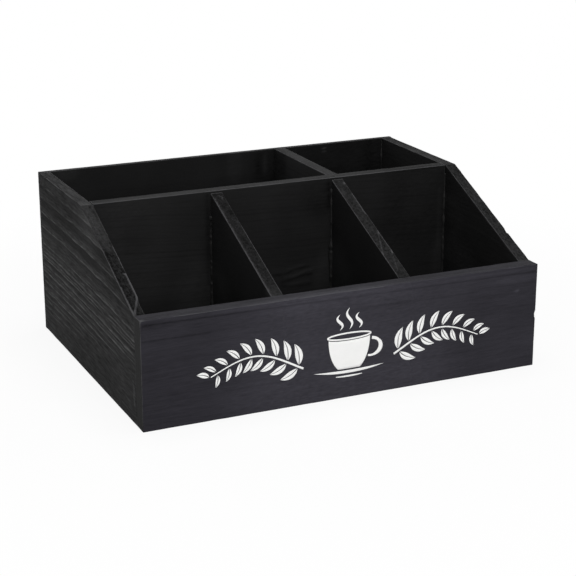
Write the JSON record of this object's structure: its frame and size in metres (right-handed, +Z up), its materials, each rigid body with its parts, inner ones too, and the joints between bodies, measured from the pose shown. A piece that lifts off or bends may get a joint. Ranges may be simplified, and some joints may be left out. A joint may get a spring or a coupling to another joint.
{
  "type": "countertop coffee station organizer",
  "caption": "Open wooden countertop box with sloped sides and dividers, stained black, for cups, pods, packets and stirrers.",
  "frame": {"origin": "centre of the footprint, on the surface that the box stands on", "axes": "+X to the right seen from the front, +Y to the back, +Z up"},
  "size_m": [0.33, 0.25, 0.137],
  "materials": {
    "black_stained_pine": "matt black stain over brushed pine, grain showing",
    "black_stained_panel": "matt black stain over thin sheet wood",
    "steel_brads": "plain steel wire, heads set and stained over",
    "white_print": "matt white printed ornament on the front panel"
  },
  "bodies": {
    "root": {"front_panel": "black_stained_pine", "left_side_panel": "black_stained_pine", "right_side_panel": "black_stained_pine", "back_panel": "black_stained_panel", "bottom_panel": "black_stained_panel", "cross_divider": "black_stained_pine", "rear_divider": "black_stained_pine", "front_divider_left": "black_stained_pine", "front_divider_right": "black_stained_pine", "front_panel_brads": "steel_brads", "back_panel_brads": "steel_brads", "left_side_brads": "steel_brads", "right_side_brads": "steel_brads", "rear_divider_brads": "steel_brads", "front_divider_brads": "steel_brads", "bottom_panel_brads": "steel_brads"}
  },
  "joints": []
}
